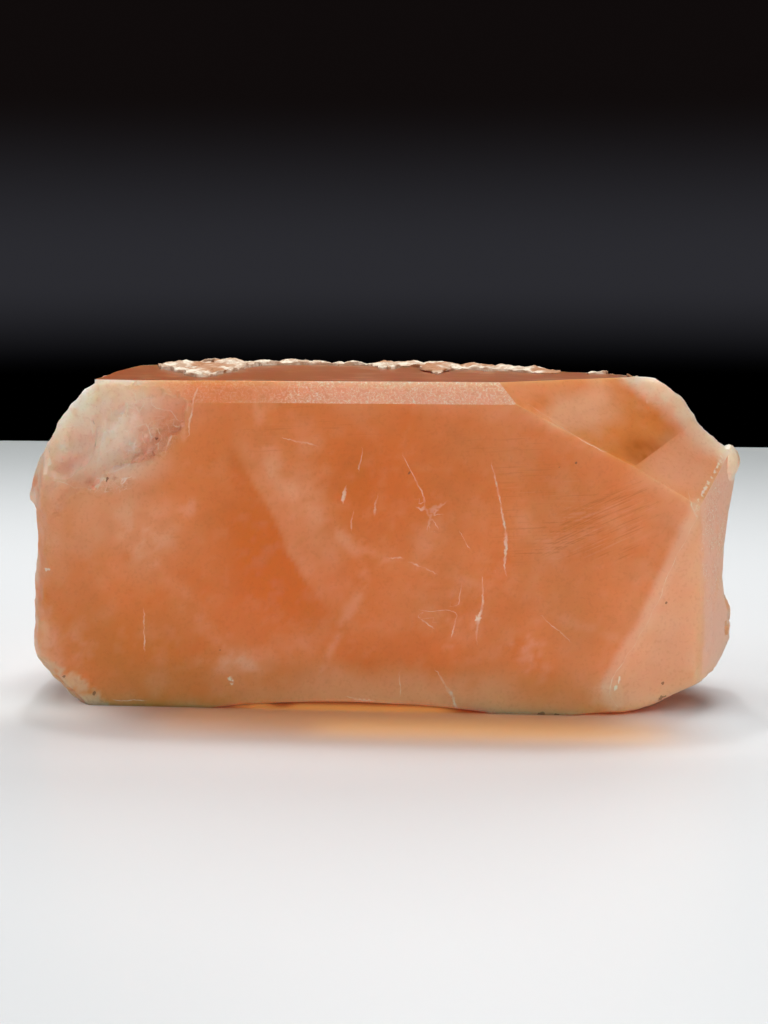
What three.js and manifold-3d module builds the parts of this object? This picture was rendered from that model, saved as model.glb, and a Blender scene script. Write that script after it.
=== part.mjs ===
// A morganite specimen: one stout crystal of pink-orange beryl that lies on a flat break, with a ragged
// cream crust of another mineral along its top back edge. Millimetres, +Z up, the broad flat face to -Y.
//
// The crystal stands with its hexagonal axis upright. Its growth faces are flat: a broad prism face in
// front, the next prism face 60 degrees round at the right end, a basal face on top, and bevels between
// them. Its back, left end and underside are breaks. It starts as the overlap of two rough prisms, its
// outline seen from the front and its outline seen from above. Faces and chips are then cut away.
import * as THREE from "three";
import { mergeVertices } from "three/addons/utils/BufferGeometryUtils.js";
import { ImprovedNoise } from "three/addons/math/ImprovedNoise.js";
import Module from "manifold-3d";

const wasm = await Module();
wasm.setup();

// ---------------------------------------------------------------- driving dimensions
const TOP = 51.6; // height of the basal face above the flat base
const FRONT = -22; // y of the broad front face
const BACK = 24; // y of the rearmost stretch of the broken back
const MARGIN = 5; // how far the rough prisms run past the faces that are cut on them
const GRAIN = 3.0; // longest triangle edge on the broken sides
const FACE_BLOCK = 200; // size of the block that cuts a growth face
const BREAK_BLOCK = 56; // size of the block that cuts a rough break, which is finely divided
const GAP = 0.3; // gap between the crust and the crystal it sits on
const CRUST_RISE = 0.55; // how far the crust stands above the basal face
const CRUST_COAT = 1.5; // how far it stands off the broken back
const CRUST_DROP = 7; // how far it reaches down the broken back
const BACK_LEAN = 8; // how far the back leans in towards the top
const RIGHT_LEAN = 5; // how much further it leans at the right
const LEAN_START = 0.4 * TOP; // height above which it leans

// Broken surfaces are shells of two sizes, given as the width and the depth of each.
const END_SHELLS = { size: 14, depth: 1.9 };
const BACK_SHELLS = { size: 18, depth: 2.4 };
const BACK_CHIPS = { size: 8, depth: 0.9 };
const END_INSET = 1.1; // keeps the ends' relief inside the outline
const BACK_INSET = 1.6; // the same for the back
const CUT_SHELLS = 11; // width of the shells on a rough cut
const CUT_CHIPS = 5; // width of the finer ones
const CUT_CHIP_SHARE = 0.4; // how deep the finer ones are, as a share
const LUMP_SHELLS = 6; // width of the shells on a hollow or a lump
const LUMP_FACET = 2.4; // about the edge of a facet on a hollow or a lump

// Stretches along an axis over which something sets in, from where it is nil to where it is full.
const ENDS_RELIEF = [34, 50]; // x, outwards from the middle to each broken end
const LEFT_RELIEF = [-16, -6]; // y, from the front edge back along the left end
const RIGHT_RELIEF = [-9, 1]; // y, the same along the right end
const BACK_RELIEF = [-11, 2]; // y, towards the broken back
const RIGHT_STRETCH = [6, 22]; // x, where the back leans in further
const CRUST_LEFT = [-34, -42]; // x, where the crust thins at its left end
const CRUST_RIGHT = [24, 36]; // x, the same at its right end

// Down the chipped left end and up the right end, as x and z, seen from the front.
const LEFT_END = [
  [-41, TOP + MARGIN], [-44.8, 51.6], [-46.8, 50.0], [-49.0, 47.6], [-51.8, 44.4], [-54.2, 41.2],
  [-56.0, 38.4], [-57.4, 35.6], [-58.0, 32.6], [-57.6, 30.4], [-56.0, 28.2], [-55.0, 25.6], [-55.3, 22.8],
  [-56.4, 19.6], [-57.0, 16.0], [-57.5, 11.6], [-57.0, 8.0], [-55.8, 5.4], [-52.8, 2.8], [-49.0, 0.6],
  [-45.6, -MARGIN],
];
const RIGHT_END = [
  [35, -MARGIN], [37.5, -0.4], [43.4, 1.4], [47.4, 3.4], [51.4, 5.6], [53.6, 7.8], [55.4, 10.4],
  [55.0, 13.0], [53.8, 16.4], [53.1, 20.4], [53.2, 25.4], [53.9, 30.6], [54.9, 35.2], [55.4, 38.8],
  [54.6, 41.0], [53.2, 42.4], [51.9, 43.4], [47.6, 48.0], [43.8, 51.6], [39.4, TOP + MARGIN],
];

// Along the broken back from left to right, as x and y, seen from above.
const BACK_BREAK = [
  [-62, -12], [-58.4, -4], [-54, 6], [-48.5, 14], [-41, 20], [-31, 23.6], [-18, 24.4], [-4, 23.4],
  [8, 22.4], [17, 20], [27, 15.6], [36, 10.4], [44, 5.2], [50.6, 0.6], [55.4, -3.6], [59.4, -9],
  [62, -14],
];

// Cuts beyond a face. Azimuth turns from the front towards the right end, elevation from level to
// straight up. Growth faces are flat, and where `rough` is given the face is a break with that relief.
const FACES = [
  { azimuth: 0, elevation: 0, through: [0, FRONT, 0] }, // broad front prism face
  { azimuth: 59.5, elevation: 1, through: [48, FRONT, 34] }, // next prism face, at the right end
  { azimuth: 0, elevation: 90, through: [0, 0, TOP] }, // basal face on top
  { azimuth: 0, elevation: 29, through: [0, FRONT, 48.4] }, // frosted bevel along the top front edge
  { azimuth: 27.5, elevation: 41.5, through: [38.1, FRONT, 39.1] }, // large corner facet
  { azimuth: 29.5, elevation: 39.5, through: [38.1, FRONT, 39.1] }, // its lower part, a little steeper
  { azimuth: 58, elevation: 49, through: [42.9, -8.7, 49.7] }, // worn shoulder over the right end
  { azimuth: 32, elevation: 18, through: [47.4, FRONT, 34.0] }, // small bright chip where three faces meet
  { azimuth: -44, elevation: -34, through: [-48, FRONT, 1.2] }, // crusted strip, lower left corner
  { azimuth: 0, elevation: -90, through: [0, 0, 0] }, // flat break that it lies on
  { azimuth: -58, elevation: 4, through: [-53.4, FRONT, 20], rough: 0.5 }, // broken edge, left end
  { azimuth: -7, elevation: 9, through: [-31, FRONT, 45.5], rough: 0.22 }, // gentle break, upper left
];
const SHOULDER_BREAK = { azimuth: 122, elevation: 68, through: [38.4, -9.2, TOP], rough: 0.4 };

// Chips and shell-shaped hollows, as ellipsoids with their middle, half sizes and turn about Y in degrees.
const HOLLOWS = [
  { at: [47.9, -26.3, 13.5], size: [12, 5.5, 33], turn: 26, rough: 0.3 }, // long shallow scoop, lower right
  { at: [46.5, -24.4, 2.4], size: [10, 4.4, 4.4], turn: -22, rough: 0.3 }, // its lower end
  { at: [-5, FRONT, -1.6], size: [26, 7, 3.0], turn: 0, rough: 0.1 }, // low arch under the front edge
  { at: [-38.0, -24.8, 44.6], size: [12.4, 4.2, 6.0], turn: -31, rough: 0.45 }, // stepped chip, upper left
  { at: [-50.8, -24.6, 43], size: [7.6, 5.4, 8.8], turn: 24, rough: 0.45 }, // chip beside it, at the corner
  { at: [-59.6, -18, 27.4], size: [4.4, 7, 5.4], turn: 8, rough: 0.3 }, // notch, middle of the left end
];

// Lumps that stand out, given the same way.
const KNOBS = [
  { at: [53.4, -10.4, 38.2], size: [2.1, 2.6, 3.4], turn: 8, rough: 0.12 }, // pale knob, end of the shoulder
  { at: [52.8, -8.0, 11.0], size: [2.6, 5.2, 6.4], turn: 4, rough: 0.2 }, // swelling low on the right end
];

// Footprint of the crust on the basal face, as x and y. Its back edge runs out past the crystal.
const CRUST = [
  [-42.2, 6], [-40.6, 1], [-38.4, 0], [-36.4, -3.5], [-34.0, -6.5], [-32.6, -11], [-30.2, -15],
  [-27.6, -14], [-26.6, -9], [-25.4, -3], [-24.6, 4], [-22.4, 10], [-17, 12], [-12, 12], [-9.8, 9.4],
  [-7.6, 11.4], [-4.6, 11], [-3.2, 6.5], [-0.6, 2.2], [1.0, 5], [1.8, 9.4], [3.8, 7], [5.4, -1],
  [7.6, -6.6], [9.6, -1.5], [10.6, 3.2], [13.6, 3.0], [15.2, 0], [18.4, 1.2], [21.4, -2], [24.6, -4.2],
  [28.4, -3.4], [31.8, -5.2], [34.6, -6.6], [37.6, -9.6], [40.6, -9.6], [36, 3], [28, 12], [14, 24],
  [-8, 28], [-32, 28], [-44, 20],
];
const CRUST_LUMPS = [
  { at: [-30.2, -9.8, TOP + 0.3], size: [2.7, 4.4, 1.2], turn: 0, rough: 0.15 },
  { at: [-36.4, 7.4, TOP + 0.4], size: [4.6, 5.0, 1.5], turn: 0, rough: 0.15 },
  { at: [-28.8, 11.4, TOP + 0.4], size: [3.4, 3.4, 1.6], turn: 4, rough: 0.15 },
  { at: [-9.6, 12.6, TOP + 0.3], size: [1.9, 2.6, 0.9], turn: 0, rough: 0.1 },
  { at: [-1.2, 7.0, TOP + 0.3], size: [2.4, 3.8, 1.0], turn: 8, rough: 0.15 },
  { at: [7.3, 2.4, TOP + 0.5], size: [2.9, 6.4, 1.5], turn: 0, rough: 0.15 },
  { at: [15.6, 3.6, TOP + 0.2], size: [1.8, 2.6, 1.0], turn: 0, rough: 0.1 },
  { at: [23.4, 3.0, TOP + 0.3], size: [4.6, 4.6, 1.3], turn: 5, rough: 0.15 },
];
const CRUST_CRUMBS = { size: 5, depth: 0.3 }; // relief on top of the crust
const CRUST_TATTERS = { size: 13, depth: 1.5 }; // how ragged its lower edge is
const CRUST_THINNING = 0.2; // how much lower it stands towards both ends
const CRUST_BLOCK = [100, 60]; // width and depth of the block that it is cut from

const MERGE_DISTANCE = 1e-4; // vertices closer than this are one
const CREST = 3.2; // brings the noise of the shells to about -1 to 1
const NOISE_STEP = new THREE.Vector3(17.3, 5.1, 9.7); // from one seed's patch of noise to the next

// ---------------------------------------------------------------- solids
// A closed three.js geometry as a solid that can be joined and cut.
function solidOf(geometry) {
  const bare = geometry.clone();
  bare.deleteAttribute("normal");
  bare.deleteAttribute("uv");
  const merged = mergeVertices(bare, MERGE_DISTANCE);
  return new wasm.Manifold(
    new wasm.Mesh({
      numProp: 3,
      vertProperties: merged.attributes.position.array,
      triVerts: new Uint32Array(merged.index.array),
    }),
  );
}

function geometryOf(solid) {
  const mesh = solid.getMesh();
  const geometry = new THREE.BufferGeometry();
  geometry.setAttribute("position", new THREE.BufferAttribute(mesh.vertProperties, 3));
  geometry.setIndex(new THREE.BufferAttribute(mesh.triVerts, 1));
  return geometry;
}

// Moves every vertex of a geometry by `move`, which changes the point it is given.
function reshape(geometry, move) {
  const position = geometry.attributes.position;
  const point = new THREE.Vector3();
  for (let i = 0; i < position.count; i += 1) {
    point.fromBufferAttribute(position, i);
    move(point);
    position.setXYZ(i, point.x, point.y, point.z);
  }
  return geometry;
}

// A prism drawn from a closed outline, with no edge on its sides longer than GRAIN.
function prism(outline, depth) {
  const points = [];
  outline.forEach((corner, i) => {
    const from = new THREE.Vector2(...corner);
    const to = new THREE.Vector2(...outline[(i + 1) % outline.length]);
    const pieces = Math.ceil(from.distanceTo(to) / GRAIN);
    for (let k = 0; k < pieces; k += 1) {
      points.push(from.clone().lerp(to, k / pieces));
    }
  });
  const steps = Math.ceil(depth / GRAIN);
  return new THREE.ExtrudeGeometry(new THREE.Shape(points), { depth, steps, bevelEnabled: false });
}

// ---------------------------------------------------------------- broken surfaces
const perlin = new ImprovedNoise();

// From 0 at the start of a stretch to 1 at its end, eased.
function ramp([from, to], value) {
  const t = THREE.MathUtils.clamp((value - from) / (to - from), 0, 1);
  return t * t * (3 - 2 * t);
}

// Beryl breaks in shells, smooth dips that meet in sharp crests. From about -1 to 1, `size` mm across.
function shells(x, y, z, size, seed) {
  const spot = new THREE.Vector3(x, y, z).divideScalar(size).addScaledVector(NOISE_STEP, seed);
  return 1 - CREST * Math.abs(perlin.noise(spot.x, spot.y, spot.z));
}

// The outline from the front, drawn to the back. Its ends are broken, so they wander behind the front.
function fromTheFront() {
  const geometry = prism([...LEFT_END, ...RIGHT_END], BACK - FRONT + 2 * MARGIN);
  geometry.rotateX(Math.PI / 2);
  geometry.translate(0, BACK + MARGIN, 0);
  return reshape(geometry, (p) => {
    const end = Math.sign(p.x);
    const behind = ramp(p.x < 0 ? LEFT_RELIEF : RIGHT_RELIEF, p.y);
    const outwards = END_SHELLS.depth * shells(0, p.y, p.z, END_SHELLS.size, 1) - END_INSET;
    p.x += end * ramp(ENDS_RELIEF, Math.abs(p.x)) * behind * outwards;
  });
}

// The outline from above, drawn up. The back is a stack of shell-shaped breaks that leans in at the top.
// `coat` makes it larger.
function fromAbove(coat = 0) {
  const [first, last] = [BACK_BREAK[0], BACK_BREAK[BACK_BREAK.length - 1]];
  const near = FRONT - MARGIN;
  const outline = [[first[0], near], [last[0], near], ...[...BACK_BREAK].reverse()];
  const geometry = prism(outline, TOP + 2 * MARGIN);
  geometry.translate(0, 0, -MARGIN);
  return reshape(geometry, (p) => {
    const lean = (BACK_LEAN + RIGHT_LEAN * ramp(RIGHT_STRETCH, p.x)) * ramp([LEAN_START, TOP], p.z);
    const coarse = BACK_SHELLS.depth * shells(p.x, 0, p.z, BACK_SHELLS.size, 2);
    const fine = BACK_CHIPS.depth * shells(p.x, 0, p.z, BACK_CHIPS.size, 3);
    p.y += ramp(BACK_RELIEF, p.y) * (coarse + fine - BACK_INSET - lean + coat);
  });
}

// ---------------------------------------------------------------- cuts
// A block that holds everything beyond a face.
function beyond({ azimuth, elevation, through, rough = 0 }) {
  const [turn, tilt] = [azimuth, elevation].map(THREE.MathUtils.degToRad);
  const out = new THREE.Vector3(
    Math.cos(tilt) * Math.sin(turn),
    -Math.cos(tilt) * Math.cos(turn),
    Math.sin(tilt),
  );
  const size = rough ? BREAK_BLOCK : FACE_BLOCK;
  const pieces = rough ? Math.ceil(size / GRAIN) : 1;
  const geometry = new THREE.BoxGeometry(size, size, size, pieces, pieces, 1);
  geometry.translate(0, 0, size / 2);
  reshape(geometry, (p) => {
    const chips = CUT_CHIP_SHARE * shells(p.x, p.y, 0, CUT_CHIPS, 5);
    p.z += p.z > 0 ? 0 : rough * (shells(p.x, p.y, 0, CUT_SHELLS, 4) + chips);
  });
  geometry.applyQuaternion(new THREE.Quaternion().setFromUnitVectors(new THREE.Vector3(0, 0, 1), out));
  geometry.translate(...through);
  return solidOf(geometry);
}

// A lumpy ellipsoid, to cut a hollow or to add a knob.
function boulder({ at, size, turn, rough }, seed) {
  const detail = Math.ceil(Math.max(...size) / LUMP_FACET);
  const geometry = new THREE.IcosahedronGeometry(1, detail);
  geometry.scale(...size);
  geometry.rotateY(THREE.MathUtils.degToRad(turn));
  geometry.translate(...at);
  const middle = new THREE.Vector3(...at);
  return solidOf(
    reshape(geometry, (p) => {
      const out = p.clone().sub(middle).normalize();
      p.addScaledVector(out, rough * shells(p.x, p.y, p.z, LUMP_SHELLS, seed + 10));
    }),
  );
}

function cut(solid, tool) {
  return solid.subtract(tool);
}

function join(solid, other) {
  return solid.add(other);
}

function makeCrystal() {
  const rough = solidOf(fromTheFront()).intersect(solidOf(fromAbove()));
  const faced = [...FACES, SHOULDER_BREAK].map(beyond).reduce(cut, rough);
  const chipped = HOLLOWS.map(boulder).reduce(cut, faced);
  return KNOBS.map(boulder).reduce(join, chipped);
}

// ---------------------------------------------------------------- crust
// A block over the whole top, lumpy above, ragged below, and thinner towards both ends.
function crustBlock() {
  const height = CRUST_RISE + CRUST_DROP;
  const pieces = CRUST_BLOCK.map((side) => Math.ceil(side / GRAIN));
  const geometry = new THREE.BoxGeometry(...CRUST_BLOCK, height, ...pieces, 1);
  geometry.translate(0, 0, TOP + CRUST_RISE - height / 2);
  return reshape(geometry, (p) => {
    const thinning = CRUST_THINNING * (ramp(CRUST_LEFT, p.x) + ramp(CRUST_RIGHT, p.x));
    const crumbs = CRUST_CRUMBS.depth * shells(p.x, p.y, 0, CRUST_CRUMBS.size, 6);
    const tatters = CRUST_TATTERS.depth * shells(p.x, 0, 0, CRUST_TATTERS.size, 7);
    p.z += p.z > TOP ? Math.max(0, crumbs) - thinning : tatters;
  });
}

// The crust covers the top back edge like a cap: it lies on the basal face and laps down the back.
function makeCrust(crystal) {
  const footprint = prism(CRUST, TOP);
  footprint.translate(0, 0, MARGIN);
  const cap = solidOf(crustBlock())
    .intersect(solidOf(footprint))
    .intersect(solidOf(fromAbove(CRUST_COAT)));
  const lumpy = CRUST_LUMPS.map(boulder).reduce(join, cap);
  const [x, y, z] = SHOULDER_BREAK.through;
  const overBreak = beyond({ ...SHOULDER_BREAK, through: [x, y, z + CRUST_RISE] });
  const shifts = [[0, 0, GAP], [0, GAP, 0], [0, GAP, GAP]];
  const crystals = shifts.map((shift) => solidOf(geometryOf(crystal).translate(...shift)));
  return [overBreak, ...crystals].reduce(cut, lumpy);
}

// ---------------------------------------------------------------- the specimen
const morganite = new THREE.MeshStandardMaterial({ color: 0xd98a5f, roughness: 0.3, metalness: 0 });
const albite = new THREE.MeshStandardMaterial({ color: 0xf0dfc8, roughness: 0.85, metalness: 0 });

const specimen = new THREE.Group();
function addPiece(name, solid, material) {
  const mesh = new THREE.Mesh(geometryOf(solid), material);
  mesh.name = name;
  specimen.add(mesh);
}

const crystal = makeCrystal();
addPiece("crystal", crystal, morganite);
addPiece("back_crust", makeCrust(crystal), albite);

// The origin is the middle of the footprint, on the base.
const middle = new THREE.Box3().setFromObject(specimen).getCenter(new THREE.Vector3());
specimen.position.set(-middle.x, -middle.y, 0);

export default specimen;
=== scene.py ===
# A morganite specimen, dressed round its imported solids: the crystal and the crust along its top edge.
import math

import bpy
import numpy as np
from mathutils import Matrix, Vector, noise


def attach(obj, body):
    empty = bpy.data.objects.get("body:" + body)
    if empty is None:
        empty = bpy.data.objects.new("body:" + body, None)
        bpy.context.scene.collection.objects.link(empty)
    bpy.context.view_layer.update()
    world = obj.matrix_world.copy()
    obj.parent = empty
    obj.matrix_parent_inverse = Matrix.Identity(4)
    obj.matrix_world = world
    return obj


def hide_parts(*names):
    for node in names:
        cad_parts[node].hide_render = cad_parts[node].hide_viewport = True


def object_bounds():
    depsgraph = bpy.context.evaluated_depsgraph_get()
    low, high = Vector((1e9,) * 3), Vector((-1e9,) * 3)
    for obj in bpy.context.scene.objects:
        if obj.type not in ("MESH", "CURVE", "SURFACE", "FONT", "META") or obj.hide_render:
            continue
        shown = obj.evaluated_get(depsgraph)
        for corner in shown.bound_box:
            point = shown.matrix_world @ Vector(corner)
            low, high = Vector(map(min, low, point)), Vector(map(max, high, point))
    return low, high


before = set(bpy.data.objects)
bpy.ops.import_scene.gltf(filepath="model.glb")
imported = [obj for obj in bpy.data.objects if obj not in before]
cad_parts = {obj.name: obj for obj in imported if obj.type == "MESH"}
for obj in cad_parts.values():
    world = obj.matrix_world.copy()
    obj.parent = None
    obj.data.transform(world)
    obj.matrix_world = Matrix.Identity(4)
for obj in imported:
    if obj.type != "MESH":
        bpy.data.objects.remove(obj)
cad_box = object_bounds()
low, high = cad_box

# ---------------------------------------------------------------- crystal
# One stout crystal of pink-orange beryl, grown as one piece and lying loose on a flat break. Its front
# and top are flat growth faces, and its back, ends and underside are broken. A cloudy gem: light goes
# in, is tinted and scattered, and comes out at the pale thin edges.
MM = 0.001  # lengths below are in millimetres
FRONT = low[1] / MM  # y of the broad front face
MERGED = 0.004  # loose corners of the solids' triangles that are closer than this are one
REMESH_FILL = 0.72  # share of the remesh grid that the crystal fills, for cells of about 0.6 mm
REMESH_MERGED = 0.02
FLAT_ANGLE = 0.6  # facets that turn by less than this, in degrees, are one flat facet
BROAD_FACET = 50 * MM * MM  # a flat facet larger than this is a growth face
DOWNWARD = (-0.99, -0.2)  # upward part of the normals of facets that lean under the stone: broken ones
SAME_PLANE = 0.9995  # least cosine between a growth face and a small face that lies on it
OFF_PLANE = 0.05  # and how far off its plane the small face may be
SWELLING = 1.5  # how far the shoulder at the upper right swells out
NICK_PATCH = 4  # size of the patches that are nicked
CRYSTAL_CREASE = 24  # edges that turn by more than this, in degrees, stay sharp


def merge(distance):
    """Joins the active piece's vertices that are closer than a distance in millimetres."""
    bpy.ops.object.mode_set(mode="EDIT")
    bpy.ops.mesh.select_all(action="SELECT")
    bpy.ops.mesh.remove_doubles(threshold=distance * MM)
    bpy.ops.object.mode_set(mode="OBJECT")


def copy_of(node, name):
    """A copy of a CAD node's mesh as a new piece, its loose triangles merged."""
    piece = bpy.data.objects.new(name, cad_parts[node].data.copy())
    bpy.context.scene.collection.objects.link(piece)
    bpy.ops.object.select_all(action="DESELECT")
    bpy.context.view_layer.objects.active = piece
    piece.select_set(True)
    merge(MERGED)
    return piece


def apply_modifier(piece, kind, **settings):
    modifier = piece.modifiers.new(kind.lower(), kind)
    for name, value in settings.items():
        setattr(modifier, name, value)
    bpy.ops.object.modifier_apply(modifier=modifier.name)


def roughen(piece, name, kind, size, depth, level, group="", **settings):
    """Pushes the surface in and out by a pattern of a given size and depth, and returns the pattern."""
    pattern = bpy.data.textures.new(name, kind)
    pattern.noise_scale = size * MM
    for key, value in settings.items():
        setattr(pattern, key, value)
    apply_modifier(
        piece, "DISPLACE", texture=pattern, texture_coords="LOCAL", strength=depth * MM,
        mid_level=level, vertex_group=group,
    )
    return pattern


def weigh(piece, name, weights):
    """A vertex group with the given weight of each vertex."""
    group = piece.vertex_groups.new(name=name)
    for index in np.flatnonzero(weights > 0):
        group.add([int(index)], float(weights[index]), "REPLACE")


def hold_inside(piece):
    """Keeps a piece's vertices inside the box of the solids."""
    for vertex in piece.data.vertices:
        vertex.co = [min(max(value, least), most) for value, least, most in zip(vertex.co, low, high)]


def places_on(piece):
    """The places of a piece's vertices, one row each."""
    places = np.empty(3 * len(piece.data.vertices))
    piece.data.vertices.foreach_get("co", places)
    return places.reshape(-1, 3) / MM


def grade(values, start, stop):
    """0 at `start`, 1 at `stop`, eased between and level beyond."""
    share = np.clip((values - start) / (stop - start), 0, 1)
    return share * share * (3 - 2 * share)


def spot(places, at, size, turn=0, core=0.15):
    """1 in an ellipsoid, fading outside a core of its radius, that rises to the right by `turn` degrees."""
    c, s = math.cos(math.radians(turn)), math.sin(math.radians(turn))
    x, y, z = (places - at).T
    along, across = (c * x + s * z) / size[0], (c * z - s * x) / size[2]
    return grade(np.sqrt(along ** 2 + (y / size[1]) ** 2 + across ** 2), 1, core)


crystal = copy_of("crystal", "morganite_crystal")
bpy.ops.object.mode_set(mode="EDIT")
bpy.ops.mesh.dissolve_limited(angle_limit=math.radians(FLAT_ANGLE))
bpy.ops.object.mode_set(mode="OBJECT")
growth_faces = [
    (face.normal.copy(), face.center.copy())
    for face in crystal.data.polygons
    if face.area > BROAD_FACET and not DOWNWARD[0] < face.normal.z < DOWNWARD[1]
]
apply_modifier(crystal, "REMESH", mode="SHARP", octree_depth=8, scale=REMESH_FILL, sharpness=1.0)
merge(REMESH_MERGED)


def is_grown(face):
    """Whether a small face lies on a growth face."""
    return any(
        face.normal.dot(normal) > SAME_PLANE
        and abs((face.center - center).dot(normal)) < OFF_PLANE * MM
        for normal, center in growth_faces
    )


grown = {index for face in crystal.data.polygons if is_grown(face) for index in face.vertices}
broken = np.ones(len(crystal.data.vertices))
broken[list(grown)] = 0

# The left end, the scoop low at the right and the rim of the bruise are worn round, with a few nicks.
places = places_on(crystal)
x = places[:, 0]
scoop = spot(places, (46, -24, 13), (14, 9, 22), -25, 0.7)
weigh(crystal, "broken", np.maximum(broken, grade(x, -48, -52.5)) * (1 - 0.7 * scoop))
bruise_rim = spot(places, (-32.5, FRONT, 43.5), (8, 8, 4.4), 20, 0.5)
weigh(crystal, "rounded", np.max([grade(x, -49.0, -52.0), scoop, bruise_rim], axis=0))
bpy.ops.object.mode_set(mode="EDIT")
bpy.ops.mesh.select_all(action="SELECT")
bpy.ops.object.vertex_group_smooth(group_select_mode="ACTIVE", factor=0.5, repeat=3)
bpy.ops.object.mode_set(mode="OBJECT")
patchy = np.array([noise.noise(Vector(place) / NICK_PATCH) for place in places])
rounded = crystal.vertex_groups["rounded"].index
in_rounded = [any(g.group == rounded for g in vertex.groups) for vertex in crystal.data.vertices]
weigh(crystal, "nicked", in_rounded * grade(patchy, 0.05, 0.35) * (0.06 + 0.55 * grade(x, 46, 52)))

# The bruise at the upper left is flaked and pitted.
PITTED = (
    ((-34.6, FRONT, 42), (7.5, 8, 3.4), 33),
    ((-41.0, FRONT, 35.8), (5, 8, 2.0), 8),
    ((-37.8, FRONT, 46.9), (3, 6, 1.5), 0),
)
pitted = np.max([spot(places, at, size, turn, core=0.4) for at, size, turn in PITTED], axis=0)
weigh(crystal, "pitted", pitted)
weigh(crystal, "swollen", spot(places, (45.4, -9, 48.4), (7.5, 22, 5), -40, 0.1))
weigh(crystal, "bruised", spot(places, (-42.5, FRONT, 43), (15, 8, 7.5), 25, core=0.7))

# What is broken is covered with shell marks, and each weight above gets its own relief.
apply_modifier(crystal, "SMOOTH", factor=0.5, iterations=40, vertex_group="rounded")
apply_modifier(crystal, "DISPLACE", strength=SWELLING * MM, mid_level=0, vertex_group="swollen")
SHELLS = {"distance_metric": "DISTANCE_SQUARED", "noise_intensity": 1.0}
roughen(crystal, "broad_shells", "VORONOI", 7.0, 1.1, 0.5, "broken", **SHELLS)
roughen(crystal, "small_shells", "VORONOI", 2.6, 0.5, 0.5, "broken", **SHELLS)
roughen(crystal, "grain", "CLOUDS", 1.2, 0.18, 0.5, "broken", noise_depth=2)
roughen(crystal, "flakes", "VORONOI", 3.4, 0.9, 0.6, "bruised", **SHELLS)
before_pits = [vertex.co.copy() for vertex in crystal.data.vertices]
pits = roughen(crystal, "pits", "CLOUDS", 1.5, 1.3, 0.62, "pitted", noise_depth=1)
pit_height = np.array([pits.evaluate(place)[3] for place in before_pits])
roughen(crystal, "nicks", "CLOUDS", 1.6, 0.40, 1.0, "nicked", noise_depth=2)
hold_inside(crystal)
bpy.ops.object.shade_smooth_by_angle(angle=math.radians(CRYSTAL_CREASE))

# The colour is laid on in washes that are held at the corners of the faces: soft clouds, veils and
# bruises, all drifting by a slow noise so that none has a plain outline. Fine lines are held as the
# distance from them, which stays crisp between vertices, and the material adds what is finer.
ORANGE = (0.82, 0.30, 0.070, 1)
CORE = (0.78, 0.215, 0.004, 1)
AMBER = (0.72, 0.25, 0.016, 1)  # browner low down at the left
PEACH = (0.95, 0.56, 0.33, 1)
PINK = (0.95, 0.54, 0.35, 1)
MILK = (1.00, 0.74, 0.55, 1)
SPARK = (1.00, 0.90, 0.76, 1)
RIM_HIGHLIGHT = (0.98, 0.92, 0.74, 1)
SHADE = (0.50, 0.14, 0.006, 1)
STAIN = (0.24, 0.09, 0.03, 1)
ROCK = (0.80, 0.55, 0.33, 1)
PIT_SHADE = (0.58, 0.44, 0.24, 1)
TOP_BROWN_SHADE = (0.50, 0.11, 0.002, 1)

DRIFT = 4.5  # how far soft patches stray
DRIFT_SIZE = 9.0
WOBBLE = 0.3  # how far lines stray
WOBBLE_SIZE = 2.2
LINE_REACH = 1.3  # how far from a line its distance is kept
CURL_WIDTH = 0.06  # how far the noise that draws the curls strays within half a line
FRONT_DEPTH = (5, 7)  # marks on the front end between these depths behind it
SEED_STEPS = (37.1, 11.3, 23.7)  # how far apart the noises of two seeds lie
noise.seed_set(7)  # without a seed, noise_vector changes from run to run


def shift_of(seed):
    return tuple(seed * step for step in SEED_STEPS)


def strayed(places, size, reach, seed):
    """The places moved by a smooth noise."""
    shift = Vector(shift_of(seed))
    moves = [noise.noise_vector(Vector(place) / size + shift) for place in places]
    return places + reach * np.array(moves)


def soft_noise(places, size, octaves, seed):
    """Soft noise about 0.5, mostly between 0.3 and 0.7, with patches of this size."""
    shift = Vector(shift_of(seed))
    values = [noise.fractal(Vector(place) / size + shift, 0.7, 2.0, octaves) for place in places]
    return 0.5 + 0.30 * np.array(values)


def distance_from(places, line):
    """How far a line drawn on the front is: signed and over its half width, plain, and past its ends.

    The line is x, z and half width at each of its points. The sign is positive on its left.
    """
    best, signed, past = (np.full(len(places), np.inf) for _ in range(3))
    for (x0, z0, w0), (x1, z1, w1) in zip(line, line[1:]):
        run = np.array([x1 - x0, z1 - z0])
        length = np.hypot(*run)
        offset = places[:, [0, 2]] - [x0, z0]
        along = offset @ run / length**2
        across = (offset @ [-run[1], run[0]]) / length
        held = np.clip(along, 0, 1)
        away = np.hypot(across, (along - held) * length)
        width = w0 + (w1 - w0) * held
        closer = away < best
        best = np.where(closer, away, best)
        signed = np.where(closer, np.copysign(away, across) / width, signed)
        past = np.where(closer, np.abs(along - held) * length, past)
    return signed, best, past


def keep(piece, name, values):
    """Keeps a value of each vertex, or of each face's corner, under a name that the material reads."""
    domain = "POINT" if len(values) == len(piece.data.vertices) else "CORNER"
    kind, field = ("FLOAT_COLOR", "color") if values.ndim == 2 else ("FLOAT", "value")
    kept = piece.data.attributes.new(name, kind, domain)
    kept.data.foreach_set(field, values.astype(np.float32).ravel())


def wash(paint, color, share):
    """The paint with a share of a colour laid over it."""
    return paint + np.asarray(share)[:, None] * (np.array(color) - paint)


def spots(where, rows, core=0.15):
    """The strongest of several ellipsoids: middle, half sizes, rise to the right, share."""
    return np.max([share * spot(where, at, size, turn, core) for at, size, turn, share in rows], axis=0)


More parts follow.
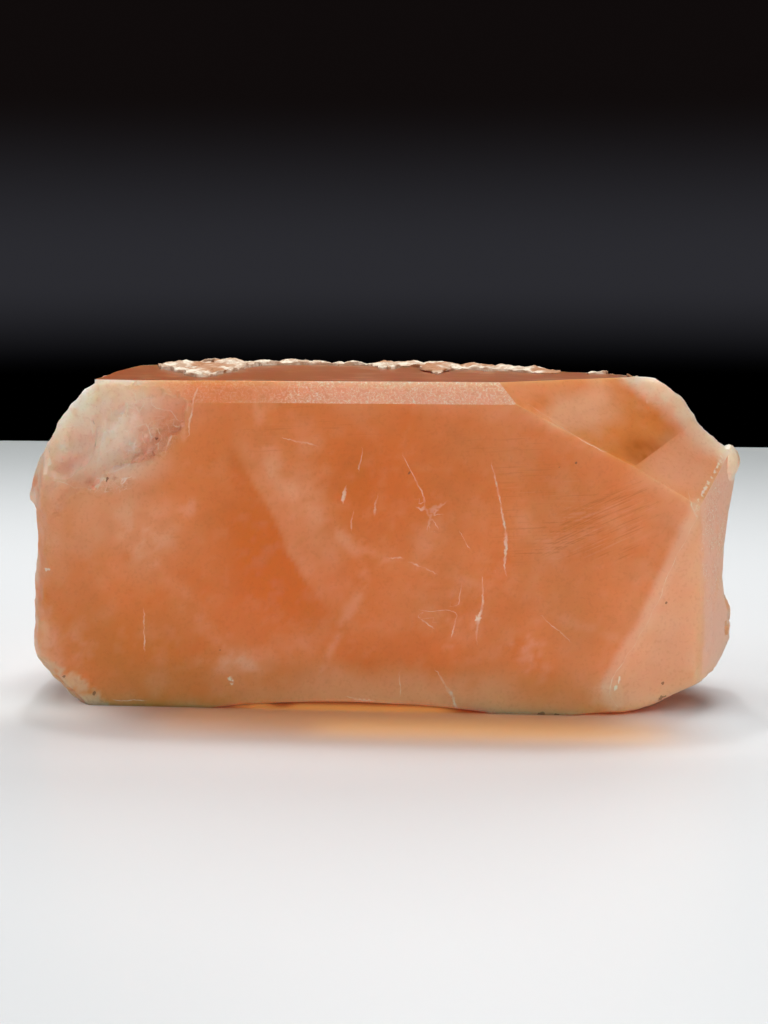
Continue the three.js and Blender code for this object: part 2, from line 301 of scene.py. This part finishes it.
def ribbon(line):
    """1 on a line, fading to 0 at its half width."""
    signed, _, past = distance_from(wavy, line)
    return grade(np.abs(signed), 1, 0.1) * grade(past, 1, 0) * in_front


places = places_on(crystal)
x, y, z = places.T
drifted = strayed(places, DRIFT_SIZE, DRIFT, 0)
wavy = strayed(places, WOBBLE_SIZE, WOBBLE, 1)
cloud = soft_noise(places, 9.0, 4, 5)
wisps = soft_noise(places, 2.6, 3, 6)
in_front = grade(y, FRONT + FRONT_DEPTH[1], FRONT + FRONT_DEPTH[0])
group = crystal.vertex_groups["broken"].index
broken = np.array([sum(g.weight for g in v.groups if g.group == group) for v in crystal.data.vertices])

# The body: deep orange in the middle, browner low down at the left, paler towards the ends and edges,
# partly its own colour and partly painted glow where they are thin.
paint = np.tile(ORANGE, (len(places), 1))
paint = wash(paint, CORE, spots(drifted, (
    ((1, -16, 36), (20, 50, 15), 0, 0.80),
    ((-13, -16, 21), (19, 50, 15), 0, 0.95),
    ((2, -16, 10), (22, 50, 8), 0, 0.55),
    ((33, -16, 29), (13, 50, 10), 20, 0.45),
    ((16, -16, 17), (12, 50, 6), -10, 0.35),
)))
paint = wash(paint, AMBER, spot(drifted, (-36, -16, 9), (17, 50, 12)) * 0.9)
paint = wash(paint, PEACH, spots(drifted, (
    ((-50, -16, 50), (30, 50, 21), 0, 0.90),
    ((-53, -16, 30), (15, 50, 16), 0, 0.45),
    ((-39, -16, 30), (14, 50, 11), -20, 0.45),
    ((-34, -16, 31), (9, 40, 5), -35, 0.35),
    ((54, -16, 22), (21, 50, 32), -8, 0.62),
    ((46, -16, 5), (22, 50, 15), 0, 0.45),
    ((8, -16, 52), (60, 40, 6), 0, 0.35),
    ((43, -20, 38), (8, 30, 5), 25, 0.45),
    ((-4, 14, 30), (60, 16, 40), 0, 0.45),
    ((30, -20, 48.5), (12, 20, 5.5), 0, 0.80),
    ((6, -20, -1), (52, 30, 9), 0, 0.60),
)))
paint = wash(paint, PEACH, grade(cloud, 0.54, 0.78) * 0.30)
paint = wash(paint, CORE, grade(cloud, 0.46, 0.26) * 0.45)

# Veils: sheets of tiny inclusions seen nearly edge-on. The first is dark behind its crisp left edge.
past_edge, _, _ = distance_from(wavy, (
    (-24, 45, 1), (-21.4, 40.4, 1), (-19.2, 36.5, 1), (-15.4, 30.3, 1), (-13.1, 24.1, 1),
    (-10.1, 19.3, 1), (-7.8, 16.2, 1),
))
past_edge = grade(past_edge, -0.2, 0.6)
under_veil = spot(places, (-17.0, FRONT, 24), (17, 20, 9), -61, 0.2)
veil = spot(places, (-12.5, FRONT, 30), (20, 20, 8), -61, 0.3)
paint = wash(paint, CORE, under_veil * (1 - past_edge))
paint = wash(paint, PEACH, veil * past_edge * (0.20 + 0.30 * wisps))
# The others are narrow: the share of their colour, and x, z and half width along them.
VEILS = (
    (0.45, (
        (-18, 50, 1.0), (-16.8, 44.3, 1.8), (-15.3, 37.3, 2.4), (-11.5, 33.5, 1.8), (-6.1, 28.9, 1.0),
    )),
    (0.45, ((-6.1, 28.9, 0.7), (-3.8, 26.6, 2.4), (0.1, 24.6, 2.2), (2.4, 24.4, 0.5))),
    (0.42, ((-0.5, 25.0, 2.0), (-2.3, 19.5, 1.6), (-4.6, 14.6, 1.4), (-8.4, 6.3, 0.6))),
    (0.20, ((2.1, 24.6, 0.6), (19.3, 19.8, 1.2), (36, 13, 1.2), (46, 9, 0.6))),
    (0.20, ((-40, 28, 0.8), (-30, 18, 2.4), (-23, 8, 1.2))),
    (0.55, ((-28.6, 49, 0.6), (-29.0, 46, 0.9), (-29.6, 42.4, 0.6))),
)
veils = np.max([share * ribbon(line) for share, line in VEILS], axis=0)
paint = wash(paint, PEACH, grade(wisps, 0.30, 0.62) * veils)
# Painted glow over the bruise's own paleness: the thin upper left corner, which light shines through, is
# painted paler.
paint = wash(paint, MILK, spot(drifted, (-43, -16, 44), (19, 50, 13), 30, 0.3) * 0.7)
paint = wash(paint, SPARK, spot(drifted, (-43, -16, 45), (14, 50, 9), 30, 0.2) * 0.55)
paint = wash(paint, PEACH, grade(wisps, 0.52, 0.74) * 0.12)
paint = wash(paint, SHADE, grade(wisps, 0.46, 0.26) * 0.12)
paint = wash(paint, MILK, grade(wisps, 0.42, 0.66) * grade(y, 10, -10) * spots(drifted, (
    ((-22, -20, 8), (7, 12, 5), 30, 0.36),
    ((24, -20, 9), (6, 12, 4), 0, 0.30),
    ((-36, -20, 28), (8, 12, 5), -30, 0.34),
    ((-29, -20, 30), (4, 12, 3), 0, 0.30),
    ((-47, -20, 8), (7, 12, 5), 0, 0.25),
    ((14, -22, 15), (7, 12, 9), 0, 0.22),
    ((37.6, -22, 6), (3, 8, 6), -20, 0.35),
)))

# The corner facet. The eye sees into the stone at its foot, left of a smooth pink plane, and the dark
# backdrop seen through it there is painted in as shade.
above_line, _, _ = distance_from(places, ((21.0, 49.8, 1), (34.8, 41.6, 1), (39.3, 39.3, 1)))
left_of_plane, _, _ = distance_from(places, ((39.3, 39.1, 1), (46.5, 43.0, 1)))
keep(crystal, "window_inside", np.clip(np.minimum(above_line, left_of_plane), -4, 4))
keep(crystal, "window", (0.6 + 0.4 * grade(wisps, 0.40, 0.60)) * spots(drifted, (
    ((41.5, -20, 40.8), (8.5, 20, 5.4), 10, 0.95),
    ((29, -20, 46.5), (8.0, 20, 3.4), -20, 0.10),
), core=0.2))
paint = wash(paint, PINK, spot(places, (47, -20, 39.4), (8, 12, 6), 0, 0.4) * 0.5)

# The scoop low at the right is paler than the face that it is broken out of.
SCOOP_RIM = (
    (49.6, 34.0, 0.03), (48.6, 31.0, 0.03), (46.5, 26.5, 0.05), (44.4, 21.0, 0.09), (42.3, 15.5, 0.03),
    (39.4, 10.7, 0.05), (36.8, 5.8, 0.12), (36.4, 3.4, 0.08), (38.0, 1.4, 0.02),
)
in_scoop, _, _ = distance_from(wavy, tuple((across, up, 1) for across, up, _ in SCOOP_RIM))
in_scoop = grade(in_scoop, -0.2, 0.5) * spot(places, (46, -20, 15), (13, 9, 21), -25, 0.75)
paint = wash(paint, PEACH, in_scoop * 0.65)
paint = wash(paint, MILK, ribbon(tuple((across - 0.6, up, 1.7) for across, up, _ in SCOOP_RIM)) * 0.45)

# Broken surfaces are paler where shells bruise them, and the lower left edge is crusted.
paint = wash(paint, MILK, broken * grade(cloud, 0.48, 0.68) * (0.2 + 0.3 * wisps))
# Painted shade in the hollows of the pits.
paint = wash(paint, PIT_SHADE, pitted * grade(pit_height, 0.56, 0.40) * 0.22)
shoulder, _, _ = distance_from(wavy, (
    (39.0, 52.2, 2.0), (46.0, 49.4, 3.8), (51.0, 43.6, 3.6), (54.0, 41.6, 3.0),
))
shoulder = grade(np.abs(shoulder), 1.25, 0.30)
paint = wash(paint, MILK, shoulder * (0.70 + 0.2 * grade(wisps, 0.42, 0.58)))
paint = wash(paint, SPARK, spot(wavy, (54.6, -12, 38.2), (3.4, 6, 4.6), 0, 0.6) * 0.5)
# Painted highlights along the left outline, over its own pale greenish edge.
paint = wash(paint, RIM_HIGHLIGHT, grade(wisps, 0.28, 0.50) * spots(wavy, (
    ((-46.4, FRONT, 48.0), (6.5, 14, 2.4), 42, 0.95),
    ((-54.6, -20, 37), (2.6, 14, 9.0), 0, 0.50),
    ((-54.2, -20, 22), (1.6, 9, 4.0), 0, 0.35),
), core=0.4))
crusted = grade(spot(wavy, (-48.6, -21, 2.6), (9.5, 12, 3.2), -34, 0.6) + 0.5 * wisps, 0.50, 0.75)
paint = wash(paint, ROCK, crusted * grade(soft_noise(places, 1.4, 2, 7), 0.28, 0.50) * 0.9)

# Growth faces have their own finish, which stops at their edges. The top is browner and streaked, its
# darkness partly painted shade, as it looks when seen nearly edge-on. The narrow bevel and the end are
# frosted: etched into tiny bright curls, partly their own pale etch and partly painted sparkle.
BEVEL_NORMAL = (0, -0.875, 0.485)
END_NORMAL = (0.861, -0.507, 0.017)
TOP_ABOVE, BEVEL_ABOVE, END_BEYOND = 51.3, 48, 46
corner = np.empty(len(crystal.data.loops), dtype=np.int32)
crystal.data.loops.foreach_get("vertex_index", corner)
normals = np.empty(3 * len(crystal.data.polygons))
crystal.data.polygons.foreach_get("normal", normals)
sides = [face.loop_total for face in crystal.data.polygons]
facing = np.repeat(normals.reshape(-1, 3), sides, axis=0)
on_top = (facing[:, 2] > 0.99) * (z[corner] > TOP_ABOVE)
on_bevel = (facing @ BEVEL_NORMAL > 0.99) * (z[corner] > BEVEL_ABOVE)
on_end = (facing @ END_NORMAL > 0.985) * (x[corner] > END_BEYOND)
bevel_frost = spots(wavy, (
    ((6, FRONT, 50), (26, 4, 6), 0, 1.0),
    ((-24, FRONT, 50), (12, 4, 4), 0, 0.35),
), core=0.7)
end_frost = spot(wavy, (52, -19, 27), (6, 9, 15), -4, 0.3) * grade(wisps, 0.32, 0.58)
frost = on_bevel * bevel_frost[corner] + on_end * end_frost[corner]
frost = np.maximum(frost, (0.25 * pitted)[corner])
streaks = soft_noise(places / (9, 3, 1), 0.8, 3, 8)
paint = wash(paint[corner], PINK, on_bevel * 0.85 * grade(x, -32, 0)[corner])
paint = wash(paint, PINK, on_end * 0.85)
# Painted shade, over the top's own brown.
paint = wash(paint, TOP_BROWN_SHADE, on_top * 0.95)
paint = wash(paint, PEACH, on_top * grade(streaks, 0.54, 0.72)[corner] * 0.35)
keep(crystal, "body", paint)
keep(crystal, "frost", frost)
relief = 0.05 + 0.40 * broken + 0.90 * crusted + 1.2 * pitted
keep(crystal, "relief", relief[corner] + 0.5 * frost)
dullness = 0.30 + 0.10 * broken + 0.30 * crusted
keep(crystal, "dullness", dullness[corner] + 0.30 * frost)

# Bright hairline cracks, each as x, z and half width along it.
CRACKS = (
    ((4.4, 40.5, 0.08), (7.0, 35.3, 0.14), (7.9, 32.6, 0.26), (9.5, 29.6, 0.06)),
    ((17.9, 39.2, 0.08), (18.6, 36.6, 0.24), (19.4, 33.0, 0.14), (20.0, 27.6, 0.40), (20.1, 22.2, 0.16)),
    ((9.8, 6.7, 0.12), (12.0, 2.9, 0.40), (12.9, 0.4, 0.34)),
    ((-27.4, 50.4, 0.14), (-28.0, 47.2, 0.34), (-28.6, 43.4, 0.12)),
    ((-36.2, 15.2, 0.14), (-36.4, 13.6, 0.26)), ((-36.5, 12.6, 0.10), (-36.5, 9.4, 0.20)),
    ((-4.3, 35.2, 0.36), (-4.9, 33.6, 0.50)),
    ((0.4, 33.9, 0.14), (-0.1, 31.6, 0.26)),
    ((-3.4, 31.4, 0.12), (-3.5, 29.3, 0.20)),
    ((-13.8, 43.0, 0.10), (-11.4, 42.5, 0.30), (-9.2, 42.0, 0.14)),
    ((6.8, 32.6, 0.20), (8.7, 32.0, 0.95), (10.6, 33.2, 0.30)), ((8.8, 31.8, 0.40), (7.9, 29.0, 0.12)),
    ((-1.8, 41.2, 0.08), (-2.5, 38.3, 0.16)),
    ((16.7, 21.6, 0.10), (16.8, 18.0, 0.26), (16.0, 15.0, 0.44), (15.8, 11.4, 0.10)),
    ((6.8, 15.4, 0.12), (8.9, 13.8, 0.20)),
    ((7.0, 16.4, 0.04), (12.4, 16.3, 0.10)),
    ((12.6, 15.6, 0.10), (12.0, 12.4, 0.20)),
    ((13.2, 20.4, 0.06), (13.0, 17.6, 0.14)),
    ((23.2, 48.3, 0.03), (32.5, 42.4, 0.07), (34.8, 41.4, 0.05)),
    ((2.6, 24.6, 0.20), (3.9, 24.7, 0.24)), ((5.4, 23.9, 0.24), (6.8, 23.2, 0.20)),
    ((7.9, 22.9, 0.16), (9.4, 22.4, 0.10)),
    ((-4.2, 2.2, 0.10), (-2.0, 1.7, 0.34), (-0.2, 1.8, 0.10)),
    ((-41.6, 0.9, 0.08), (-36.4, 0.9, 0.14)),
    ((13.2, 28.6, 0.06), (14.2, 26.4, 0.12)),
    ((4.1, 6.0, 0.10), (4.0, 2.8, 0.16)),
    ((-34.5, 47.4, 0.06), (-31.6, 47.0, 0.20), (-30.6, 45.6, 0.10)),
    ((-37.2, 49.2, 0.16), (-37.0, 47.6, 0.20)), ((-34.6, 49.0, 0.14), (-34.4, 47.4, 0.20)),
    ((-41.0, 47.0, 0.08), (-40.8, 44.0, 0.14)),
    ((-50.4, 36.2, 0.04), (-47.0, 35.0, 0.10), (-44.6, 35.2, 0.06)),
    ((-38.6, 44.0, 0.05), (-34.8, 45.0, 0.12), (-31.4, 46.2, 0.06)),
    ((-52.0, 45.2, 0.05), (-49.6, 44.0, 0.12), (-47.2, 44.2, 0.05)),
    ((-44.5, 45.2, 0.08), (-44.1, 43.4, 0.22), (-44.6, 41.8, 0.08)),
    ((-32.4, 45.0, 0.10), (-31.5, 43.2, 0.26), (-32.2, 41.0, 0.10)),
    ((-41.4, 37.2, 0.06), (-38.6, 38.3, 0.20), (-35.4, 40.4, 0.08)),
    ((-38.5, 43.4, 0.10), (-38.1, 42.0, 0.24), (-38.4, 40.4, 0.10)),
    ((-36.9, 43.2, 0.08), (-37.5, 41.0, 0.20)),
    ((-35.4, 44.4, 0.10), (-34.7, 42.8, 0.24)),
    ((-41.2, 40.8, 0.06), (-43.2, 39.4, 0.14), (-43.6, 37.4, 0.08)),
    ((26.0, 15.8, 0.06), (29.2, 13.0, 0.16), (30.2, 12.2, 0.08)),
    ((47.5, 35.0, 0.08), (48.1, 33.2, 0.16), (49.0, 31.4, 0.24)),
    SCOOP_RIM,
)
crack_offset, crack_away, crack_past = (np.full(len(places), np.inf) for _ in range(3))
for line in CRACKS:
    signed, away, past = distance_from(wavy, line)
    closer = away < crack_away
    crack_offset = np.where(closer, signed, crack_offset)
    crack_past = np.where(closer, past, crack_past)
    crack_away = np.where(closer, away, crack_away)
near = (crack_away < LINE_REACH) * grade(crack_past, 0.5, 0.1) * in_front
flecks = soft_noise(places, 1.5, 2, 9)
near = near * (0.25 + 0.75 * grade(flecks, 0.42, 0.60))
# The pits are edged by fine curls, painted highlights on their small ridges, which the crack lines leave
# room for.
curls = (soft_noise(places, 1.2, 2, 10) - 0.5) / CURL_WIDTH
in_curls = (pitted > 0) & (near < 0.1)
keep(crystal, "crack_offset", np.clip(np.where(in_curls, curls, crack_offset), -99, 99))
curls_near = grade(pitted, 0.1, 0.6) * grade(flecks, 0.40, 0.54)
keep(crystal, "crack_near", np.where(in_curls, curls_near, near))

# Small dark stains and pits, as x, z and how far they spread on the front.
STAINS = (
    (26.0, -0.2, 1.6), (28.4, -0.2, 1.0), (36.8, 0.0, 1.2), (44.8, 2.4, 2.0), (44.8, 5.2, 0.9),
    (48.4, 2.4, 1.4), (44.8, 18.4, 0.9), (28.2, 39.3, 1.0), (30.6, 39.4, 0.8), (5.2, 37.8, 0.7),
    (-49.5, 4.6, 0.8), (-44.8, 2.0, 0.8), (-24.5, 9.2, 0.7), (-34.0, 42.6, 1.2), (-43.4, 47.2, 0.8),
    (-41.5, 36.4, 0.9), (56.0, 38.0, 0.8),
)
stain = [spot(wavy, (across, FRONT, up), (reach, 7, reach), 0, 0) for across, up, reach in STAINS]
keep(crystal, "stain", np.maximum(np.max(stain, axis=0), 0.25 * crusted))

# Where fine striations show: rising to the right beside the corner facet, and level elsewhere.
keep(crystal, "rising", spot(drifted, (35, FRONT, 30), (15, 20, 8), 24, 0.3) * in_front)
keep(crystal, "level", in_front * spots(drifted, (
    ((25, FRONT, 31), (13, 20, 14), 0, 0.9),
    ((-10, FRONT, 44), (16, 20, 4), 0, 0.8),
    ((20, FRONT, 43), (14, 20, 5), 0, 0.7),
    ((0, FRONT, 15), (16, 20, 5), 0, 0.4),
), core=0.4))

# Small bright chips and glints, painted as highlights, the last of them in a row along the upper edge of
# the end.
END_ROW = [
    ((49.1 + 0.3 * k, -23.0 + 0.52 * k, 34.0 + 0.37 * k), (0.7, 1.0, 0.8), 0, 0.8 - 0.1 * (k % 3))
    for k in range(16)
]
glints = spots(wavy, (
    ((37.4, FRONT, 4.7), (0.6, 6, 1.2), -25, 0.9),
    ((38.0, FRONT, 6.0), (0.5, 6, 0.9), 20, 0.8),
    ((36.9, FRONT, 3.4), (0.4, 6, 0.9), 0, 0.8),
    ((-51.6, FRONT, 21.8), (1.3, 6, 0.5), 20, 0.8),
    ((-51.9, FRONT, 23.2), (1.0, 6, 0.4), 10, 0.8),
    ((-51.2, FRONT, 38.6), (0.7, 9, 2.6), 4, 0.7),
    ((-53.4, FRONT, 39.4), (0.6, 9, 2.0), -8, 0.7),
    ((-22.6, FRONT, 4.4), (1.2, 6, 1.4), 30, 0.7),
    ((16.0, FRONT, 15.2), (0.8, 6, 1.2), 60, 0.7),
    *END_ROW,
), core=0.2)
# Painted highlights on the tops of the pits too.
keep(crystal, "glints", np.maximum(glints, pitted * grade(pit_height, 0.60, 0.78) * 0.5))


def fill(node, values):
    """Gives each named socket of a node its value or its link."""
    for name, value in values.items():
        if isinstance(value, Wire):
            value.tree.links.new(value.socket, node.inputs[name])
        else:
            node.inputs[name].default_value = value


class Wire:
    """A socket of a material's nodes. Arithmetic on it adds Math nodes."""

    def __init__(self, tree, socket=None):
        self.tree = tree
        self.socket = socket

    def node(self, kind, settings, values, output=0):
        """A new node of a kind: its settings first, then a value or link for each named socket."""
        made = self.tree.nodes.new("ShaderNode" + kind)
        for name, setting in settings.items():
            setattr(made, name, setting)
        fill(made, values)
        return Wire(self.tree, made.outputs[output])

    def math(self, operation, *values):
        return self.node("Math", {"operation": operation}, dict(enumerate(values)))

    def __add__(self, other):
        return self.math("ADD", self, other)

    def __sub__(self, other):
        return self.math("SUBTRACT", self, other)

    def __rsub__(self, other):
        return self.math("SUBTRACT", other, self)

    def __mul__(self, other):
        return self.math("MULTIPLY", self, other)

    def __abs__(self):
        return self.math("ABSOLUTE", self)

    __radd__ = __add__
    __rmul__ = __mul__


def ease(value, start, stop):
    """0 at `start`, 1 at `stop`, eased between and level beyond."""
    limits = {"Value": value, "From Min": start, "From Max": stop}
    return value.node("MapRange", {"interpolation_type": "SMOOTHSTEP"}, limits)


def pattern(place, size, detail=2.0, roughness=0.55, seed=0, stretch=(1, 1, 1), rise=0):
    """Soft noise about 0.5 of this size, stretched along axes that rise to the right."""
    turned = place.node("Mapping", {"vector_type": "TEXTURE"}, {
        "Vector": place, "Location": shift_of(seed),
        "Rotation": (0, math.radians(-rise), 0), "Scale": tuple(size * s for s in stretch),
    })
    look = {"Vector": turned, "Scale": 1.0, "Detail": detail, "Roughness": roughness}
    return place.node("TexNoise", {}, look)


def tint(under, over, share):
    """One colour over another by a share: sockets 6 and 7 of a Mix node, whose output 2 is a colour."""
    return share.node("Mix", {"data_type": "RGBA"}, {0: share, 6: under, 7: over}, output=2)


def start_material(name):
    """A new material with its shader and the place on the piece in millimetres."""
    material = bpy.data.materials.new(name)
    material.use_nodes = True
    tree = material.node_tree
    metres = Wire(tree).node("TexCoord", {}, {}, output="Object")
    place = metres.node("VectorMath", {"operation": "SCALE"}, {0: metres, "Scale": 1 / MM})
    return material, tree.nodes["Principled BSDF"], place


def coat(piece, material):
    piece.data.materials.clear()
    piece.data.materials.append(material)


gem, gem_shader, place = start_material("morganite")


def mask(name):
    """What was kept on the crystal under this name."""
    return place.node("Attribute", {"attribute_name": name}, {}, output="Fac")


grain = pattern(place, 0.55, 1.0, 0.6, seed=2)
rising_lines = pattern(place, 1.0, 1.0, 0.7, seed=3, stretch=(6, 4, 0.22), rise=25)
level_lines = pattern(place, 1.0, 1.0, 0.7, seed=4, stretch=(9, 5, 0.30), rise=3)
lines = (rising_lines - 0.5) * mask("rising") + (level_lines - 0.5) * (0.7 * mask("level"))
color = place.node("Attribute", {"attribute_name": "body"}, {}, output="Color")
color = tint(color, MILK, ease(lines, 0.05, 0.25) * 0.18)
color = tint(color, SHADE, ease(lines, -0.04, -0.18) * 0.38)
color = tint(color, SHADE, ease(grain, 0.48, 0.28) * 0.14)
# Painted shade: the dark view through the corner facet's foot.
color = tint(color, SHADE, mask("window") * ease(mask("window_inside"), 0.0, 0.2))
jagged = abs(mask("crack_offset") + 2.0 * grain - 1.0)
color = tint(color, SPARK, ease(jagged, 0.9, 0.2) * mask("crack_near") * 0.80)
# Painted sparkle over the frost's own etched curls, and over the pits.
color = tint(color, SPARK, mask("frost") * ease(abs(grain - 0.5), 0.045, 0.005) * 0.85)
# Painted highlights where the glints are kept.
color = tint(color, SPARK, ease(mask("glints") + 0.8 * grain, 0.85, 1.05) * 0.9)
color = tint(color, STAIN, ease(mask("stain") * (grain + 0.25), 0.44, 0.54) * 0.85)
bump = {"Strength": 0.6, "Distance": 0.35 * MM, "Height": grain * mask("relief")}
fill(gem_shader, {
    "Base Color": color,
    "Roughness": mask("dullness"),
    "Normal": place.node("Bump", {}, bump),
    "IOR": 1.58,  # of beryl
    "Specular IOR Level": 0.35,
    "Transmission Weight": 0.40,
    "Subsurface Weight": 1.0,
    "Subsurface Radius": (1.0, 0.55, 0.40),
    "Subsurface Scale": 8 * MM,
})
tinge = place.node("VolumeAbsorption", {}, {"Color": (1.0, 0.62, 0.35, 1), "Density": 90.0})
gem.node_tree.links.new(tinge.socket, gem.node_tree.nodes["Material Output"].inputs["Volume"])
coat(crystal, gem)
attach(crystal, "root")
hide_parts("crystal")

# ---------------------------------------------------------------- crust
# A ragged cap of cream feldspar, grown on to the crystal along its top back edge, so it sits a little
# into it. Opaque, granular, lumpy and dull, with rusty patches.
CRUST_SINK = 0.45  # how far it is let into the crystal
CRUST_CELL = 0.35  # size of its remesh grid
CRUST_CREASE = 35
CRUST_TAN = (0.52, 0.34, 0.22, 1)
CRUST_CREAM = (0.78, 0.68, 0.54, 1)
CRUST_RUST = (0.42, 0.17, 0.06, 1)
CRUST_SPECK = (0.30, 0.17, 0.09, 1)
crust = copy_of("back_crust", "feldspar_crust")
apply_modifier(crust, "REMESH", mode="VOXEL", voxel_size=CRUST_CELL * MM)
bpy.ops.object.shade_smooth_by_angle(angle=math.radians(CRUST_CREASE))
roughen(crust, "lumps", "VORONOI", 3.2, 1.0, 0.75, **SHELLS)
roughen(crust, "crumbs", "CLOUDS", 0.9, 0.5, 0.6, noise_depth=3)
for vertex in crust.data.vertices:
    vertex.co.z -= CRUST_SINK * MM
hold_inside(crust)
cream, cream_shader, place = start_material("cream_crust")
broad = pattern(place, 7.0, 2.0, 0.65, seed=11)
mottle = pattern(place, 2.2, 3.0, 0.65, seed=12)
fine = pattern(place, 0.5, 2.0, 0.7, seed=13)
color = tint(CRUST_TAN, CRUST_CREAM, ease(mottle, 0.42, 0.60))
color = tint(color, CRUST_RUST, ease(broad, 0.52, 0.40) * 0.9)
color = tint(color, CRUST_SPECK, ease(fine, 0.66, 0.78) * 0.5)
bump = {"Strength": 0.7, "Distance": 0.3 * MM, "Height": fine + mottle}
fill(cream_shader, {
    "Base Color": color,
    "Roughness": 0.72 + fine * 0.2,
    "Normal": place.node("Bump", {}, bump),
})
coat(crust, cream)
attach(crust, "root")
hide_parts("back_crust")

# ---------------------------------------------------------------- table, camera and lights
# The stone lies near the middle of a plain white table, seen from a little above and from its right.
# Soft light comes from above, from behind and from the left, and a softbox in front lights the stone
# alone. Places and sizes here are in metres.
TABLE_DEPTH = 0.300  # from the origin to the far edge
TABLE_WIDTH = 3.0
TABLE_NEAR = 1.2  # from the origin towards the camera
TABLE_WHITE = (0.745, 0.765, 0.775, 1)
TABLE_PALER = (0.755, 0.775, 0.785, 1)
TABLE_FAR_SHADE = (0.36, 0.38, 0.38, 1)
CAMERA_SPOT = (0.0170, -0.2462, 0.0713)
CAMERA_TURN = 4.0  # degrees to the left
CAMERA_PITCH = 10.05  # degrees down
CAMERA_LENS = 51.96  # for the sensor's usual 36 mm
CAMERA_NEAR = 0.01

bpy.ops.object.select_all(action="DESELECT")
bpy.ops.mesh.primitive_plane_add(size=1, location=(0, (TABLE_DEPTH - TABLE_NEAR) / 2, 0))
table = bpy.context.active_object
table.name = "table"
table.scale = (TABLE_WIDTH, TABLE_DEPTH + TABLE_NEAR, 1)
bpy.ops.object.transform_apply(location=True, rotation=False, scale=True)
white, white_shader, place = start_material("white_table")
color = tint(TABLE_WHITE, TABLE_PALER, pattern(place, 60.0, 3.0, seed=20))
# Painted shade towards the far end of the table.
far = place.node("SeparateXYZ", {}, {"Vector": place}, output="Y")
fill(white_shader, {"Base Color": tint(color, TABLE_FAR_SHADE, ease(far, 60, 320)), "Roughness": 0.42})
coat(table, white)

bpy.ops.object.camera_add(
    location=CAMERA_SPOT,
    rotation=(math.radians(90 - CAMERA_PITCH), 0, math.radians(CAMERA_TURN)),
)
camera = bpy.context.active_object
camera.data.lens = CAMERA_LENS
camera.data.clip_start = CAMERA_NEAR
bpy.context.scene.camera = camera


def softbox(name, at, aim, width, depth, power, color=(1.0, 1.0, 1.0)):
    """A rectangular light at a place, aimed at another, with its power in watts."""
    bpy.ops.object.light_add(type="AREA", location=at)
    light = bpy.context.active_object
    light.name = name
    light.rotation_euler = (Vector(aim) - Vector(at)).to_track_quat("-Z", "Y").to_euler()
    light.data.shape = "RECTANGLE"
    light.data.size = width
    light.data.size_y = depth
    light.data.energy = power
    light.data.color = color
    return light


softbox("lamp_over", (-0.06, 0.26, 0.85), (0, 0, 0), 0.06, 0.06, 1.2)
softbox("softbox_over", (-0.05, 0.26, 0.95), (0, 0, 0.02), 0.9, 0.25, 7.2)
softbox("softbox_behind", (0.14, 0.60, 0.68), (0, 0, 0.02), 0.6, 0.35, 3.2)
front = softbox("softbox_front", (0.45, -0.95, 0.20), (0, 0, 0.03), 0.9, 0.35, 8.4)
# The front light is flagged off the table, and left out of reflections, where it would burn out the top.
stone = bpy.data.collections.new("stone")
stone.objects.link(crystal)
stone.objects.link(crust)
front.light_linking.receiver_collection = stone
front.visible_glossy = False
softbox("softbox_left", (-0.75, 0.10, 0.45), (0, 0, 0.03), 0.5, 0.5, 3.0)

# Light that the stone lets through and throws beside itself, as low patches that face down and light the
# table alone: three warm ones in front of the stone, and a pale one at each lower corner. Each row holds
# the place, the size, the power in watts and the colour.
GLOWS = (
    ((0.006, -0.0310, 0.005), (0.078, 0.012), 0.00115, (1.0, 0.38, 0.06)),
    ((0.018, -0.0330, 0.004), (0.052, 0.006), 0.0005, (1.0, 0.52, 0.12)),
    ((-0.005, -0.0225, 0.0010), (0.036, 0.003), 0.00018, (1.0, 0.52, 0.15)),
    ((0.050, -0.0245, 0.010), (0.014, 0.010), 0.0010, (0.92, 0.98, 1.0)),
    ((-0.051, -0.0262, 0.008), (0.022, 0.008), 0.0006, (1.0, 0.96, 0.90)),
)
tabletop = bpy.data.collections.new("tabletop")
tabletop.objects.link(table)
for at, size, power, color in GLOWS:
    glow = softbox("glow", at, (at[0], at[1], 0), *size, power, color)
    glow.light_linking.receiver_collection = tabletop
    glow.visible_camera = False
    glow.visible_glossy = False
    glow.visible_transmission = False

# A dark backdrop far off all round, with a faint painted glow across its middle.
BACKDROP_RADIUS = 2.5
BACKDROP_HEIGHT = 3.2
BACKDROP_MIDDLE = 0.6  # height of its middle over the table
BACKDROP_GLOW = (0.024, 0.024, 0.029, 1)
BACKDROP_DARK = (0.005, 0.0035, 0.0035, 1)  # higher up
BLACK = (0, 0, 0, 1)
ROOM_LIGHT = (0.010, 0.011, 0.014, 1)
bpy.ops.mesh.primitive_cylinder_add(
    vertices=96, radius=BACKDROP_RADIUS, depth=BACKDROP_HEIGHT, end_fill_type="NOTHING",
    location=(0, 0, BACKDROP_MIDDLE),
)
backdrop = bpy.context.active_object
backdrop.name = "backdrop"
bpy.ops.object.transform_apply(location=True, rotation=False, scale=False)
bpy.ops.object.shade_smooth()
dark, dark_shader, place = start_material("dark_backdrop")
height = place.node("SeparateXYZ", {}, {"Vector": place}, output="Z")
faint = tint(BLACK, BACKDROP_GLOW, ease(height, -155, 18))
fill(dark_shader, {
    "Emission Color": tint(faint, BACKDROP_DARK, ease(height, 50, 350)),
    "Emission Strength": 1.0,
    "Base Color": BLACK,
    "Specular IOR Level": 0.0,
    "Roughness": 1.0,
})
coat(backdrop, dark)

room = bpy.data.worlds.new("dark_studio")
room.use_nodes = True
fill(room.node_tree.nodes["Background"], {"Color": ROOM_LIGHT, "Strength": 1.0})
bpy.context.scene.world = room
bpy.context.scene.view_settings.view_transform = "Standard"
